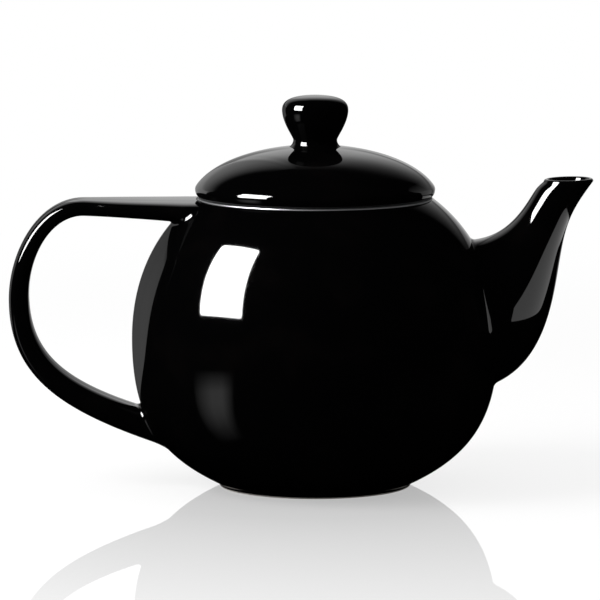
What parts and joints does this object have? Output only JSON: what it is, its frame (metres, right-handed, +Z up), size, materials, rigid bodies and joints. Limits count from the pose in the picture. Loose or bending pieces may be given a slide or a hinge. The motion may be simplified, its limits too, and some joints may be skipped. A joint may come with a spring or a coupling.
{
  "type": "infuser teapot",
  "caption": "Round glazed ceramic teapot with a strap handle, a short upturned spout, a domed lid with a knob and a lift-out perforated steel tea basket.",
  "frame": {"origin": "under the middle of the bounding box, on the plane of the foot ring", "axes": "+Z up; +X towards the spout; -X towards the handle"},
  "size_m": [0.2268, 0.1424, 0.1521],
  "materials": {
    "glaze": "deep black glossy glaze",
    "steel": "satin stainless sheet"
  },
  "bodies": {
    "pot": {"pot_body": "glaze", "spout": "glaze", "handle": "glaze"},
    "infuser": {"infuser_rim": "steel", "infuser_wall": "steel", "infuser_base_ring": "steel", "infuser_base_disc": "steel"},
    "lid": {"lid_shell": "glaze", "lid_knob": "glaze"}
  },
  "joints": [
    {"name": "infuser_lift", "type": "slide", "parent": "pot", "child": "infuser", "axis": [0, 0, 1], "range_m": [0, 0.09]},
    {"name": "lid_lift", "type": "slide", "parent": "infuser", "child": "lid", "axis": [0, 0, 1], "range_m": [0, 0.05]}
  ]
}
